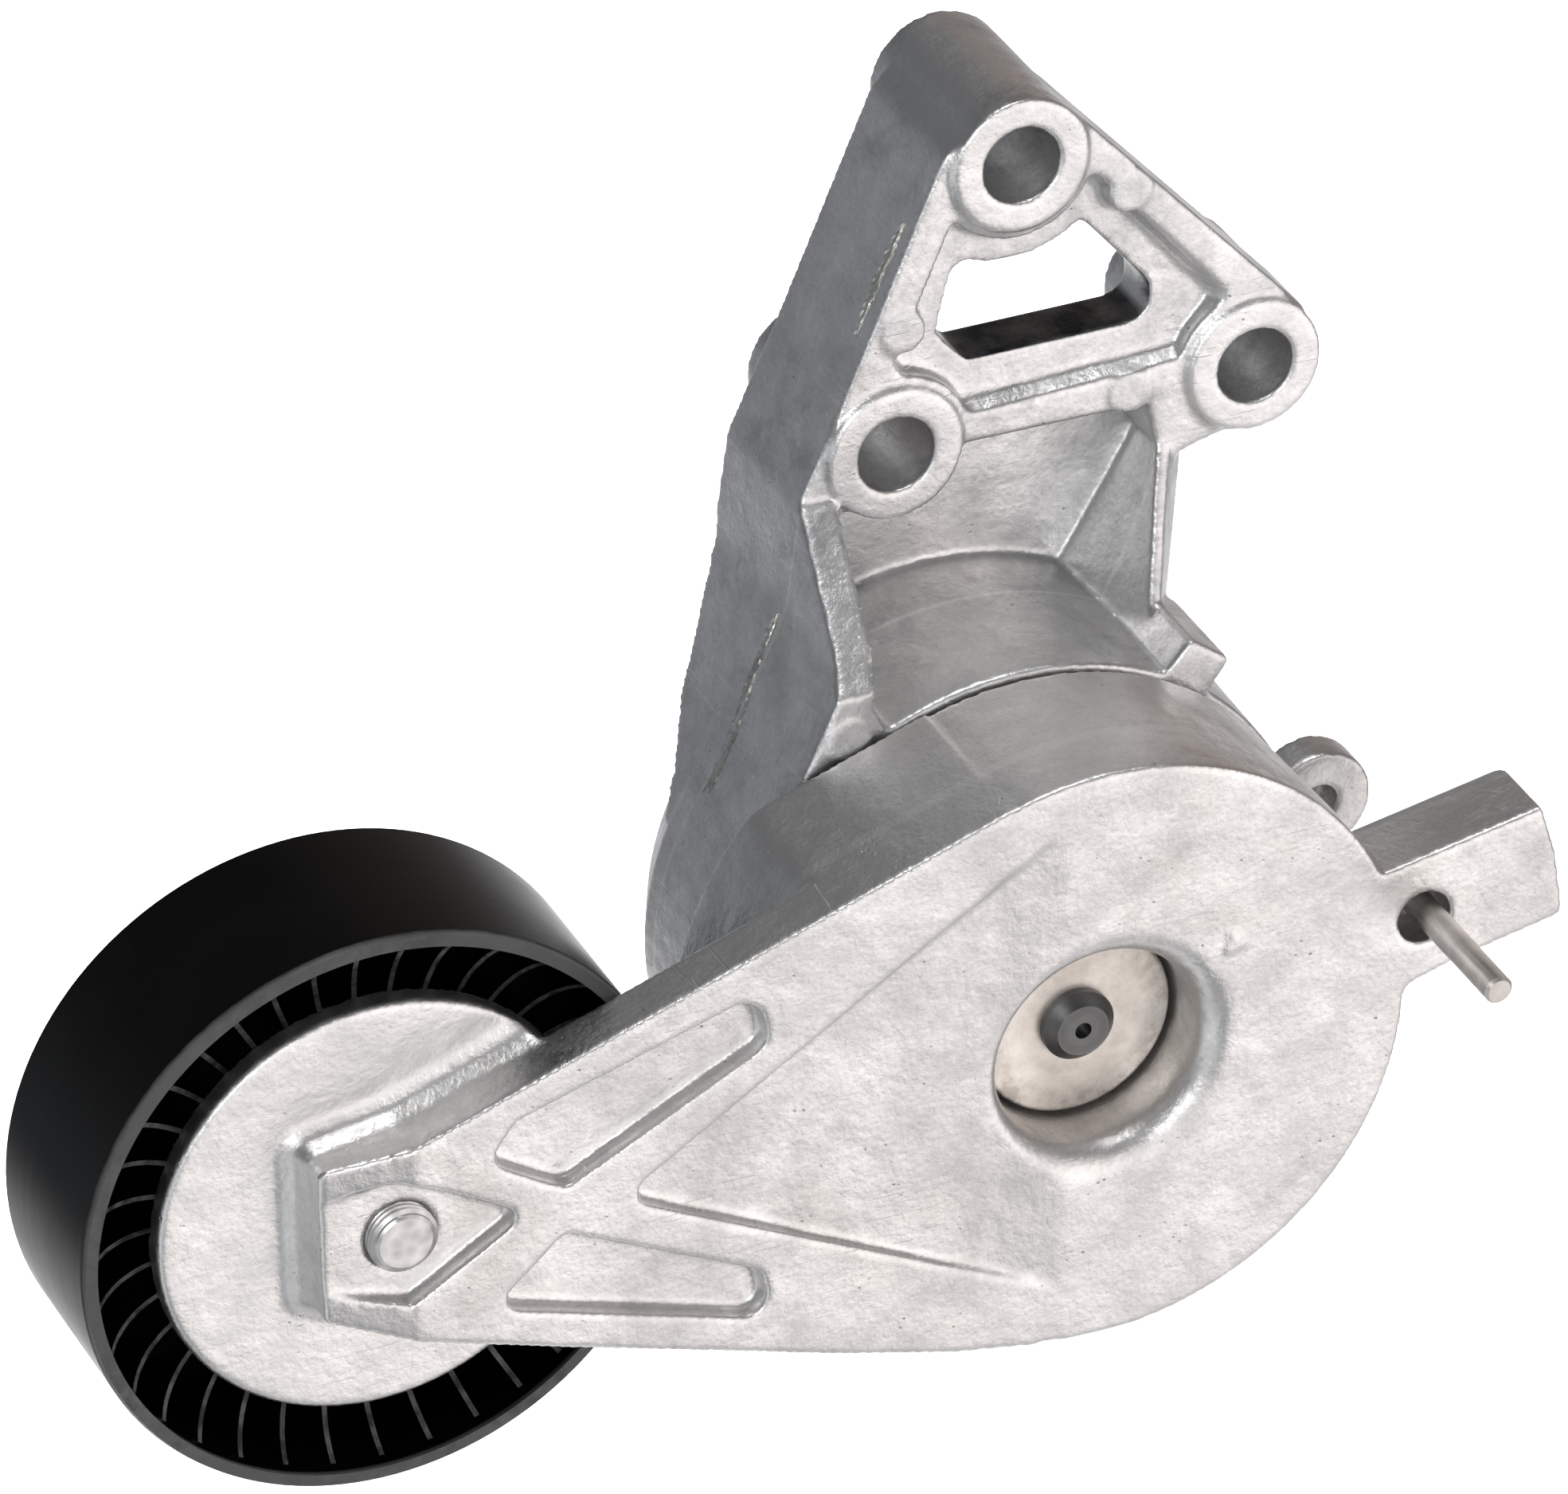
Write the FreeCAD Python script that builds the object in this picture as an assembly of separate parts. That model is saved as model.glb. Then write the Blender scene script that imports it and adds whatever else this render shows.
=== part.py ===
import FreeCAD, Part
import math
import os

# Belt tensioner idler for an engine's accessory belt.
# Millimetres. The pivot axis is the Y axis and the front of the tensioner looks towards -Y.
# The origin is on the pivot axis, in the plane of the backs of the three bolt bosses.
# +X is to the right as seen from the front, and +Z is up.

Vec = FreeCAD.Vector

# ---- driving dimensions: planes along the pivot axis ----
boss_back = 0.0
wall_back = -3.0            # back edge of the deep left wall
hub_back = -7.5
web_back = -11.0
web_front = -14.0           # front of the thin web above the cup
triangle_back = -13.0       # back of the plate around the triangular window
pocket_floor = -20.0        # floor of the triangular pocket between the bosses
parting = -20.4             # where the two casting halves of the bracket part
rim_front = -22.2           # cast rim around the pocket
boss_front = -23.0
cup_back = -11.0
cup_floor = -17.0
cup_front = -39.5
post_front = -31.0
skirt_back = -40.3          # back edge of the arm's skirt, a small gap in front of the cup
arm_hub_back = -31.5
ear_back = -31.9
ear_front = -36.7
beam_back = -56.5           # clears the pulley, which turns behind the beam
arm_parting = -58.5
arm_face = -63.0
plate_front = -54.5         # round plate of the arm over the pulley
plate_back = -51.6
lug_back = -51.7
recess_floor = -52.1
washer_front = -54.8
washer_back = -53.0
shaft_front = -57.0
shaft_back = -5.5

# ---- driving dimensions: radii about the pivot axis ----
cup_mouth_r = 36.7
cup_r = 37.1                # widest, on the parting plane
cup_bore_r = 33.0
disc_r = 36.9
skirt_r = 36.4              # the skirt narrows a little towards its back edge
skirt_bore_r = 33.2
skirt_end_r = 43.0          # the skirt stops here where the arm leaves the round cup
recess_r = 12.3
recess_lip = 3.7
shaft_r = 8.0
shaft_end_r = 4.3
running_gap = 0.05
hub_r = 13.5
bush_wall = 1.5

# ---- bracket layout ----
boss_r = 8.1
bolt_hole_r = 4.6
boss_top = (7.5, 90.4)
boss_right = (36.6, 58.4)
boss_left = (-7.4, 57.4)
bosses = (boss_top, boss_right, boss_left)
pad_r = 2.6                 # ejector pads
pad_height = 0.35

# ---- arm and pulley layout ----
pulley_x, pulley_z = -83.45, -2.06
pulley_r = 35.0
pulley_front = -56.0
pulley_width = 24.0
pulley_back = pulley_front + pulley_width
plate_r = 25.8
arm_tilt = 19.0             # angle of the arm's upper edge
bolt_r = 4.0
thread_pitch = 0.8
thread_depth = 0.45
lug_hole = (39.1, 8.1)
lug_hole_r = 3.2
lug_round = 2.6             # rounding of the lug's upper back edge
ear_r = 6.4
ear_hole_r = 2.2
ear_hole_floor = -32.9      # the hole is blind
pin_r = 1.7
pin_front = -79.8
pin_back = -46.5            # just behind the lug
rib_count = 36
rib_thick = 0.6
rim_bore_r = 33.3

# ---- spring and damper ----
spring_wire_r = 2.6
spring_r = 23.5
spring_front = -53.5
spring_back = -21.0
spring_turns = 5.25
damper_front = -47.5
damper_back = -32.0

# ---- bearing 6203: 17 x 40 x 12 ----
bearing_bore_r = 8.5
bearing_r = 20.0
bearing_width = 12.0
bearing_front = -50.0
bearing_back = bearing_front + bearing_width
bearing_mid = bearing_front + bearing_width / 2
pitch_r = 14.25
ball_r = 3.37
race_r = 3.5
ball_count = 8


# ---------------------------------------------------------------- helpers
def cylinder(radius, y0, y1, centre=(0, 0)):
    return Part.makeCylinder(radius, y1 - y0, Vec(centre[0], y0, centre[1]), Vec(0, 1, 0))


def tube(outer, inner, y0, y1, centre=(0, 0)):
    return cylinder(outer, y0, y1, centre).cut(cylinder(inner, y0 - 1, y1 + 1, centre))


def outline(points, y):
    """Closed wire in the plane y. A point is (x, z) or (x, z, corner radius)."""
    edges = []
    corners = []
    count = len(points)
    for i in range(count):
        here = Vec(points[i][0], y, points[i][1])
        radius = points[i][2] if len(points[i]) > 2 else 0
        if radius == 0:
            corners.append((here, here, None))
            continue
        before = Vec(points[i - 1][0], y, points[i - 1][1])
        after = Vec(points[(i + 1) % count][0], y, points[(i + 1) % count][1])
        to_before = (before - here).normalize()
        to_after = (after - here).normalize()
        half = to_before.getAngle(to_after) / 2
        reach = radius / math.tan(half)
        middle = (to_before + to_after).normalize() * (radius / math.sin(half) - radius)
        corners.append((here + to_before * reach, here + to_after * reach, here + middle))
    for i in range(count):
        start, end, middle = corners[i]
        if middle is not None:
            edges.append(Part.Arc(start, middle, end).toShape())
        following = corners[(i + 1) % count][0]
        if end.distanceToPoint(following) > 1e-6:
            edges.append(Part.LineSegment(end, following).toShape())
    return Part.Wire(edges)


def prism(points, y0, y1):
    face = Part.Face(outline(points, y0))
    return face.extrude(Vec(0, y1 - y0, 0))


def side_prism(points, x0, x1):
    """Prism along X from an outline given as (y, z) points."""
    corners = [Vec(x0, y, z) for y, z in points]
    face = Part.Face(Part.makePolygon(corners + corners[:1]))
    return face.extrude(Vec(x1 - x0, 0, 0))


def loft(front, y0, back, y1):
    return Part.makeLoft([outline(front, y0), outline(back, y1)], True, True)


def level_loft(top, z1, bottom, z0):
    """Ruled solid between two outlines of (x, y) points at the heights z1 and z0."""
    wires = []
    for points, z in ((top, z1), (bottom, z0)):
        corners = [Vec(x, y, z) for x, y in points]
        wires.append(Part.makePolygon(corners + corners[:1]))
    return Part.makeLoft(wires, True, True)


def turned(profile, centre=(0, 0)):
    """Solid of revolution about an axis along Y. A profile point is (radius, y)."""
    corners = [Vec(centre[0] + r, y, centre[1]) for r, y in profile]
    face = Part.Face(Part.makePolygon(corners + corners[:1]))
    return face.revolve(Vec(centre[0], 0, centre[1]), Vec(0, 1, 0), 360)


def fused(first, *others):
    return first.multiFuse(list(others)).removeSplitter()


def rounded(shape, radius, chosen):
    """Fillet of the edges for which chosen(edge) is true."""
    edges = [edge for edge in shape.Edges if chosen(edge)]
    return shape.makeFillet(radius, edges)


def along_y(edge):
    box = edge.BoundBox
    return box.YLength > 1 and box.XLength < 1e-4 and box.ZLength < 1e-4


def in_plane(edge, y):
    box = edge.BoundBox
    return abs(box.YMin - y) < 1e-4 and abs(box.YMax - y) < 1e-4


# ---------------------------------------------------------------- bracket and cup
def triangle_plate():
    """Plate between the three bosses, with a raised rim, a pocket and a window."""
    plate = prism(
        [(4.2, 97.8), (-1.6, 93.1, 5.0), (-13.7, 64.8), (-19.2, 52.9, 1.5), (-15.3, 50.2, 1.5), (1.4, 56.4),
         (23.7, 56.2, 1.0), (24.7, 50.8), (26.6, 48.4, 1.5), (29.2, 49.4, 2.0), (33.9, 50.6), (42.9, 64.1),
         (13.8, 95.7)],
        rim_front, triangle_back,
    )
    brim = [(-0.9, 84.5, 1.5), (-7.6, 68.6, 1.5), (-1.6, 59.8, 1.0), (28.4, 61.0, 1.0), (33.4, 68.2, 1.2),
            (17.0, 87.0, 1.5)]
    floor = [(-0.7, 83.9, 1.5), (-7.2, 68.8, 1.5), (-2.0, 61.0, 1.0), (27.6, 62.1, 1.0), (31.8, 68.0, 1.2),
             (16.2, 86.4, 1.5)]
    pocket = loft(brim, rim_front, floor, pocket_floor).fuse(prism(brim, rim_front - 1, rim_front))
    collars = Part.makeCompound([cylinder(boss_r + 1.3, rim_front, triangle_back, boss) for boss in bosses])
    window = prism(
        [(0.5, 77.9, 2.0), (-1.4, 69.9, 1.0), (2.2, 65.8, 1.2), (24.8, 66.0, 2.6), (24.6, 70.5, 2.0),
         (16.4, 80.1, 1.6), (14.0, 80.1, 2.0)],
        pocket_floor - 3, triangle_back + 1,
    )
    window = window.cut(cylinder(13.2, pocket_floor - 3, triangle_back + 1, boss_top))
    return plate.cut(pocket.cut(collars)).cut(window)


def left_wall():
    """Deep wall from the top boss down to the cup. Its front and back edges slope towards the cup."""
    wall = prism(
        [(4.2, 97.8), (-1.6, 93.1, 5.0), (-13.7, 64.8), (-19.2, 52.9, 4.0), (-20.9, 40.8, 6.0), (-27.3, 27.0),
         (-33.9, 14.4), (-30.0, 10.0), (-13.0, 31.0), (-15.9, 33.2), (-17.8, 36.9), (-16.0, 41.5),
         (-14.6, 52.6), (-9.3, 64.0), (0.8, 87.6)],
        cup_front, wall_back,
    )
    front_slope = side_prism(
        [(rim_front, 53.5), (rim_front, 100), (cup_front - 5, 100), (cup_front - 5, 38.2), (cup_front, 38.2)],
        -60, 30,
    )
    back_slope = side_prism(
        [(wall_back + 5, 42.5), (wall_back, 42.5), (-10.5, 25.0), (-16.0, 18.5), (parting, 11.0),
         (parting, 0), (wall_back + 5, 0)],
        -60, 30,
    )
    return wall.cut(front_slope).cut(back_slope)


def right_wall():
    """Wall with a narrow ridge in front. It widens towards the parting plane and down to the cup."""
    top = [(24.7, rim_front), (26.2, rim_front), (28.9, parting), (29.6, web_back), (27.9, web_back)]
    foot = [(18.6, -33.4), (20.0, -33.4), (27.3, parting), (27.0, web_back), (13.8, web_back)]
    return level_loft(top, 51.0, foot, 30.0)


def spring_cup():
    """Cup with a conical back, kept full width between the two walls."""
    cup = turned([
        (0, cup_front), (cup_mouth_r, cup_front), (cup_r, parting), (33.8, -13.5), (31.0, cup_back),
        (0, cup_back),
    ])
    shoulder = turned([(20.0, parting), (cup_r, parting), (37.3, web_back), (20.0, web_back)])
    between_walls = Part.makeBox(45.0, 20.0, 40.0, Vec(-19.0, parting, 8.0))
    return cup.fuse(shoulder.common(between_walls))


def base_housing():
    web = prism(
        [(-17.5, 53.0), (-19.0, 38.2), (-19.0, 20.0), (0, 15), (24.0, 20.0), (27.0, 33.0), (28.0, 49.5),
         (30.0, 50.2), (30.0, 58.0), (-10.0, 60.0)],
        web_front, web_back,
    )
    right_stop = prism([(21.2, 35.6, 0.8), (26.1, 32.0, 0.8), (22.8, 27.4), (17.2, 31.2)], cup_front, -25.8)
    hub = cylinder(14.0, cup_back - 1, hub_back)
    ribs_back = []
    for angle in (20, 80, 140, 200, 260, 320):
        rib = Part.makeBox(17.0, 2.5, 3.0, Vec(11.0, cup_back - 1.0, -1.5))
        rib.rotate(Vec(0, 0, 0), Vec(0, 1, 0), angle)
        ribs_back.append(rib)
    ear = cylinder(ear_r, ear_front, ear_back, lug_hole)
    walls = [left_wall(), right_wall(), web]
    body = fused(triangle_plate(), *walls, spring_cup(), right_stop, hub, ear, *ribs_back)
    body = fused(body, *[cylinder(boss_r, boss_front, boss_back, boss) for boss in bosses])

    # round ejector pads on the rim, the lower rib and the left stop
    pads = [((20.9, 83.9), rim_front), ((-6.3, 72.3), rim_front), ((21.5, 58.3), rim_front),
            ((-20.6, 32.9), cup_front)]
    body = fused(body, *[cylinder(pad_r, y - pad_height, y + 4.0, centre) for centre, y in pads])

    cavity = cylinder(cup_bore_r, cup_front - 1, cup_floor)
    post = cylinder(hub_r, post_front, cup_floor + 1)
    body = body.cut(cavity).fuse(post)
    body = body.cut(cylinder(shaft_r, post_front - 1, hub_back + 1))
    for boss in bosses:
        body = body.cut(cylinder(bolt_hole_r, boss_front - 1, boss_back + 1, boss))
    body = body.cut(cylinder(ear_hole_r, ear_front - 1, ear_hole_floor, lug_hole))
    return body.removeSplitter()


# ---------------------------------------------------------------- arm
def arm_plan():
    """Outline of the beam and nose, as far as the middle of the disc."""
    tilt = math.radians(arm_tilt)
    upper_touch = (-disc_r * math.sin(tilt), disc_r * math.cos(tilt))
    return [
        (-82.5, 10.0), upper_touch, (0, 20.0), (0, -30.0), (-8.0, -36.3), (-18.1, -34.5),
        (-32.7, -30.6), (-47.2, -26.1), (-63.8, -21.0), (-82.0, -15.2), (-92.5, -11.1, 1.0),
        (-92.9, 8.3, 1.0),
    ]


def arm_pockets():
    depth_floor = arm_face + 2.4
    bolt_pocket = prism(
        [(-93.6, 4.6, 0.8), (-84.4, 5.9, 1.5), (-78.9, 3.6, 1.5), (-69.4, -1.8, 1.6), (-83.0, -10.1, 1.2),
         (-92.6, -7.4, 0.8)],
        arm_face - 1, depth_floor,
    )
    upper_pocket = prism(
        [(-73.9, 5.9, 2.2), (-70.7, 10.4, 2.0), (-42.0, 19.3, 3.0), (-40.6, 12.6, 2.4), (-64.6, 0.4, 1.2),
         (-67.0, 1.6, 1.0)],
        arm_face - 1, depth_floor,
    )
    lower_pocket = prism(
        [(-65.0, -5.5, 1.6), (-41.6, -16.9, 2.4), (-40.3, -23.6, 2.4), (-73.6, -13.2, 1.8)],
        arm_face - 1, depth_floor,
    )
    fan = prism([(-58.3, -3.0, 2.0), (-2.0, 33.0), (-2.0, -31.0)], arm_face - 1, arm_face + 3)
    # the fan is deepest at its point and runs out on the disc
    slope = [Vec(-60.0, arm_face + 2.0, -40), Vec(-13.0, arm_face + 0.75, -40), Vec(-5.0, arm_face, -40),
             Vec(-5.0, arm_face - 2, -40), Vec(-60.0, arm_face - 2, -40)]
    wedge = Part.Face(Part.makePolygon(slope + slope[:1])).extrude(Vec(0, 0, 80))
    return [bolt_pocket, upper_pocket, lower_pocket, fan.common(wedge)]


def nose_foot(plan):
    """Stepped fillet where the nose stands on the round plate."""
    steps = [(0.0, -3.0), (0.9, -1.0), (3.0, 0.3)]
    face = Part.Face(outline(plan, 0))
    wires = []
    for grow, y in steps:
        wire = face.OuterWire
        if grow > 0:
            wire = face.makeOffset2D(grow, 2).OuterWire
        wire = wire.copy()
        wire.translate(Vec(0, plate_front + y, 0))
        wires.append(wire)
    return Part.makeLoft(wires, True, True)


def tensioner_arm():
    centre = (pulley_x, pulley_z)
    plan = arm_plan()
    disc = turned([(0, arm_face), (disc_r - 0.1, arm_face), (disc_r, arm_parting), (skirt_r, skirt_back),
                   (0, skirt_back)])
    deep_beam = prism(plan, arm_face, skirt_back).common(cylinder(skirt_end_r, arm_face, skirt_back))
    deep_beam = rounded(deep_beam, 6.0, lambda edge: edge.BoundBox.XMax < -25 and along_y(edge))
    beam = prism(plan, arm_face, beam_back)
    nose = prism(plan, arm_face, plate_back).common(cylinder(plate_r, arm_face, plate_back, centre))
    plate = cylinder(plate_r, plate_front, plate_back, centre)
    plate = rounded(plate, 0.8, lambda edge: in_plane(edge, plate_front))
    seat = cylinder(11.0, plate_back - 1, bearing_front, centre)
    lug = prism(
        [(24.0, 13.2), (53.4, 18.9), (55.3, 12.5, 3.0), (56.5, 4.2, 1.0), (43.0, 1.4, 2.0), (37.0, -0.4, 2.5),
         (33.0, -16.0), (24.0, -10.0)],
        arm_face, lug_back,
    )
    lug = rounded(lug, lug_round, lambda edge: in_plane(edge, lug_back) and edge.BoundBox.ZMin > 12)
    foot = nose_foot(plan).common(cylinder(plate_r, arm_face, plate_back, centre))
    body = fused(disc, deep_beam, beam, nose, foot, plate, seat, lug)

    # spring room inside the skirt, then the hub that carries the bushes
    body = body.cut(cylinder(skirt_bore_r, arm_face + 4.3, skirt_back + 1))
    body = body.fuse([
        cylinder(hub_r + 2.6, arm_face + 3, recess_floor + 3.5),
        cylinder(hub_r, recess_floor, arm_hub_back),
    ])

    # hollow under the beam, with one cross rib left standing
    hollow = prism([(-61.0, 11.5, 2.0), (-43.5, 18.6, 2.0), (-43.5, -20.5, 2.0), (-61.0, -15.8, 2.0)],
                   arm_face + 4.3, beam_back + 1)
    rib = Part.makeBox(40.0, 6.0, 3.0, Vec(-70.0, arm_face + 4.0, -2.7))
    body = body.cut(hollow.cut(rib))

    # nose facets, which fall back towards the pulley's outer side
    facet = [Vec(-82.2, arm_face, -30), Vec(-93.6, arm_face + 2.5, -30), Vec(-97.0, arm_face + 2.5, -30),
             Vec(-97.0, arm_face - 2, -30), Vec(-82.2, arm_face - 2, -30)]
    body = body.cut(Part.Face(Part.makePolygon(facet + facet[:1])).extrude(Vec(0, 0, 60)))
    for pocket in arm_pockets():
        body = body.cut(pocket)

    # recess for the washer, with a rounded lip
    lip_r = recess_r + recess_lip
    half_turn = recess_lip * math.sin(math.pi / 4)
    lip = Part.Arc(
        Vec(lip_r, arm_face, 0),
        Vec(lip_r - half_turn, arm_face + recess_lip - half_turn, 0),
        Vec(recess_r, arm_face + recess_lip, 0),
    ).toShape()
    rest = Part.makePolygon([
        Vec(recess_r, arm_face + recess_lip, 0), Vec(recess_r, recess_floor, 0), Vec(0, recess_floor, 0),
        Vec(0, arm_face - 1, 0), Vec(lip_r, arm_face - 1, 0), Vec(lip_r, arm_face, 0),
    ])
    recess = Part.Face(Part.Wire([lip] + rest.Edges)).revolve(Vec(0, 0, 0), Vec(0, 1, 0), 360)
    body = body.cut(recess)
    body = body.cut(cylinder(shaft_r + bush_wall, recess_floor - 1, arm_hub_back + 1))
    body = body.cut(cylinder(lug_hole_r, arm_face - 1, lug_back + 1, lug_hole))
    mark = prism([(14.2, 9.9), (16.9, 10.5), (15.2, 12.5)], arm_face - 0.3, arm_face + 0.5)
    body = body.fuse(mark)
    body = body.cut(cylinder(bolt_r + 0.05, arm_face, bearing_front + 1, centre))
    return body.removeSplitter()


# ---------------------------------------------------------------- pivot
def pivot_shaft():
    return turned([
        (1.0, shaft_front), (shaft_end_r - 1.2, shaft_front), (shaft_end_r, shaft_front + 1.2),
        (shaft_end_r, washer_back), (shaft_r, washer_back), (shaft_r, hub_back), (shaft_r + 2.0, hub_back),
        (shaft_r + 1.0, shaft_back), (0, shaft_back), (0, shaft_front + 1.5), (1.0, shaft_front + 1.5),
    ])


def thrust_washer():
    washer = tube(11.7, shaft_end_r, washer_front, washer_back)
    return rounded(washer, 0.5, lambda edge: in_plane(edge, washer_front) and edge.BoundBox.XLength > 20)


def friction_disc():
    return tube(11.5, shaft_r + 0.1, washer_back, recess_floor - running_gap)


def pivot_bush(y0, y1):
    return tube(shaft_r + bush_wall, shaft_r + running_gap, y0, y1)


def damper_ring():
    """Slit plastic ring held in the skirt, rubbing in the mouth of the cup."""
    ring = tube(32.7, 29.6, damper_front, damper_back)
    slit = Part.makeBox(40, 20, 2.5, Vec(20, damper_front - 2, -1.25))
    slit.rotate(Vec(0, 0, 0), Vec(0, 1, 0), 60)
    return ring.cut(slit)


# ---------------------------------------------------------------- spring and its seats
def torsion_spring():
    length = spring_back - spring_front - 2 * spring_wire_r
    helix = Part.makeHelix(length / spring_turns, length, spring_r)
    section = Part.Wire(Part.makeCircle(spring_wire_r, Vec(spring_r, 0, 0), Vec(0, 1, 0)))
    coil = Part.Wire(helix.Edges).makePipeShell([section], True, True)
    coil.rotate(Vec(0, 0, 0), Vec(1, 0, 0), -90)
    coil.translate(Vec(0, spring_front + spring_wire_r, 0))
    return coil


def spring_seat(y0, y1):
    return tube(27.5, 18.5, y0, y1)


# ---------------------------------------------------------------- pulley
def idler_pulley():
    centre = (pulley_x, pulley_z)
    rim = turned([
        (pulley_r, pulley_front + 0.8), (pulley_r, pulley_back - 0.8), (pulley_r - 0.8, pulley_back),
        (rim_bore_r, pulley_back), (rim_bore_r - 0.4, bearing_mid), (rim_bore_r, pulley_front),
        (pulley_r - 0.3, pulley_front),
    ], centre)
    hub = tube(23.0, bearing_r, bearing_front - 0.4, bearing_back + 0.4, centre)
    web = tube(rim_bore_r + 0.3, 22.5, bearing_mid - 1.6, bearing_mid + 1.6, centre)
    rib_end = rim_bore_r + 0.4
    rib_front = pulley_front + 1.0
    rib_back = pulley_back - 1.0
    plates = []
    for i in range(rib_count):
        # both free edges of a rib are hollowed between the rim and the hub
        front = Part.Arc(
            Vec(22.6, 0, bearing_front + 1.2), Vec(29.0, 0, pulley_front + 6.3), Vec(rib_end, 0, rib_front)
        ).toShape()
        back = Part.Arc(
            Vec(rib_end, 0, rib_back), Vec(29.0, 0, pulley_back - 5.0), Vec(22.6, 0, bearing_back - 1.2)
        ).toShape()
        sides = [
            Part.LineSegment(Vec(rib_end, 0, rib_front), Vec(rib_end, 0, rib_back)).toShape(),
            Part.LineSegment(Vec(22.6, 0, bearing_back - 1.2), Vec(22.6, 0, bearing_front + 1.2)).toShape(),
        ]
        rib = Part.Face(Part.Wire([front, sides[0], back, sides[1]])).extrude(Vec(0, rib_thick, 0))
        rib.translate(Vec(0, -rib_thick / 2, 0))
        rib.rotate(Vec(0, 0, 0), Vec(0, 0, 1), i * 360.0 / rib_count)
        rib.rotate(Vec(0, 0, 0), Vec(1, 0, 0), -90)
        rib.translate(Vec(centre[0], 0, centre[1]))
        plates.append(rib)
    return fused(rim, hub, web, *plates)


def bearing_ring(outer, inner):
    centre = (pulley_x, pulley_z)
    ring = tube(outer, inner, bearing_front, bearing_back, centre)
    groove = Part.makeTorus(pitch_r, race_r, Vec(pulley_x, bearing_mid, pulley_z), Vec(0, 1, 0))
    return ring.cut(groove)


def bearing_balls():
    balls = []
    for i in range(ball_count):
        angle = 2 * math.pi * i / ball_count
        place = Vec(pulley_x + pitch_r * math.cos(angle), bearing_mid, pulley_z + pitch_r * math.sin(angle))
        balls.append(Part.makeSphere(ball_r, place))
    return Part.Compound(balls)


def bearing_cage():
    """Crown cage, with a round pocket across it for each ball."""
    centre = (pulley_x, pulley_z)
    cage = tube(pitch_r + 1.3, pitch_r - 1.3, bearing_mid - 1.0, bearing_mid + 4.2, centre)
    for i in range(ball_count):
        angle = 2 * math.pi * i / ball_count
        outwards = Vec(math.cos(angle), 0, math.sin(angle))
        start = Vec(pulley_x, bearing_mid, pulley_z) + outwards * (pitch_r - 4.0)
        cage = cage.cut(Part.makeCylinder(ball_r + 0.1, 8.0, start, outwards))
    return cage


def bearing_seal(y0, y1):
    return tube(16.55, 12.2, y0, y1, (pulley_x, pulley_z))


def bearing_sleeve():
    centre = (pulley_x, pulley_z)
    return tube(bearing_bore_r, bolt_r + 0.2, bearing_front, bearing_back + 0.5, centre)


def dust_shield_rear():
    """Pressed disc with a turned-in rim."""
    back = bearing_back + 0.5
    return turned([
        (bolt_r + 0.25, back), (15.5, back), (16.5, back + 1.0), (18.8, back + 1.0), (18.8, back + 1.8),
        (16.1, back + 1.8), (15.1, back + 0.8), (bolt_r + 0.25, back + 0.8),
    ], (pulley_x, pulley_z))


def pulley_bolt():
    centre = (pulley_x, pulley_z)
    under_head = bearing_back + 1.3
    tip = arm_face + 0.7
    # the last thread turns show above the arm
    root_r = bolt_r - thread_depth
    profile = [(0, tip), (bolt_r - 0.9, tip), (bolt_r - 0.55, tip + 0.25)]
    for turn in range(3):
        y = tip + 0.4 + turn * thread_pitch
        profile += [(root_r, y), (bolt_r, y + 0.25), (bolt_r, y + 0.4), (root_r, y + 0.65)]
    profile += [(bolt_r, y + 0.95), (bolt_r, under_head), (0, under_head)]
    shank = turned(profile, centre)
    flange = cylinder(8.5, under_head, under_head + 1.4, centre)
    corners = []
    for i in range(6):
        angle = math.pi / 3 * i
        corners.append((centre[0] + 7.5 * math.cos(angle), centre[1] + 7.5 * math.sin(angle)))
    head = prism(corners, under_head + 1.0, under_head + 5.0)
    crown = turned([(0, under_head), (7.9, under_head), (7.9, under_head + 4.2), (7.0, under_head + 5.2),
                    (0, under_head + 5.2)], centre)
    return fused(shank, flange, head.common(crown))


def locking_pin():
    centre = (lug_hole[0] + 0.7, lug_hole[1])
    pin = cylinder(pin_r, pin_front, pin_back, centre)
    return pin.makeChamfer(0.35, [e for e in pin.Edges if in_plane(e, pin_front) or in_plane(e, pin_back)])


# ---------------------------------------------------------------- nodes
nodes = {
    "base_housing": base_housing(),
    "tensioner_arm": tensioner_arm(),
    "pivot_shaft": pivot_shaft(),
    "thrust_washer": thrust_washer(),
    "friction_disc": friction_disc(),
    "pivot_bush_front": pivot_bush(recess_floor, -43.5),
    "pivot_bush_rear": pivot_bush(-40.0, arm_hub_back),
    "damper_ring": damper_ring(),
    "torsion_spring": torsion_spring(),
    "spring_seat_front": spring_seat(arm_face + 4.3, spring_front),
    "spring_seat_rear": spring_seat(spring_back, cup_floor),
    "idler_pulley": idler_pulley(),
    "bearing_outer_ring": bearing_ring(bearing_r, 16.6),
    "bearing_inner_ring": bearing_ring(11.9, bearing_bore_r),
    "bearing_balls": bearing_balls(),
    "bearing_cage": bearing_cage(),
    "bearing_seal_front": bearing_seal(bearing_front + 0.3, bearing_front + 1.1),
    "bearing_seal_rear": bearing_seal(bearing_back - 1.1, bearing_back - 0.3),
    "bearing_sleeve": bearing_sleeve(),
    "dust_shield_rear": dust_shield_rear(),
    "pulley_bolt": pulley_bolt(),
    "locking_pin": locking_pin(),
}

os.makedirs("parts", exist_ok=True)
for name, shape in nodes.items():
    shape.exportStep("parts/" + name + ".step")
    print(name, "solids", len(shape.Solids), "valid", shape.isValid(), "volume", round(shape.Volume))
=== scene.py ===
import bpy
import bmesh
import math
import random
from mathutils import Euler, Matrix, Vector


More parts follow.
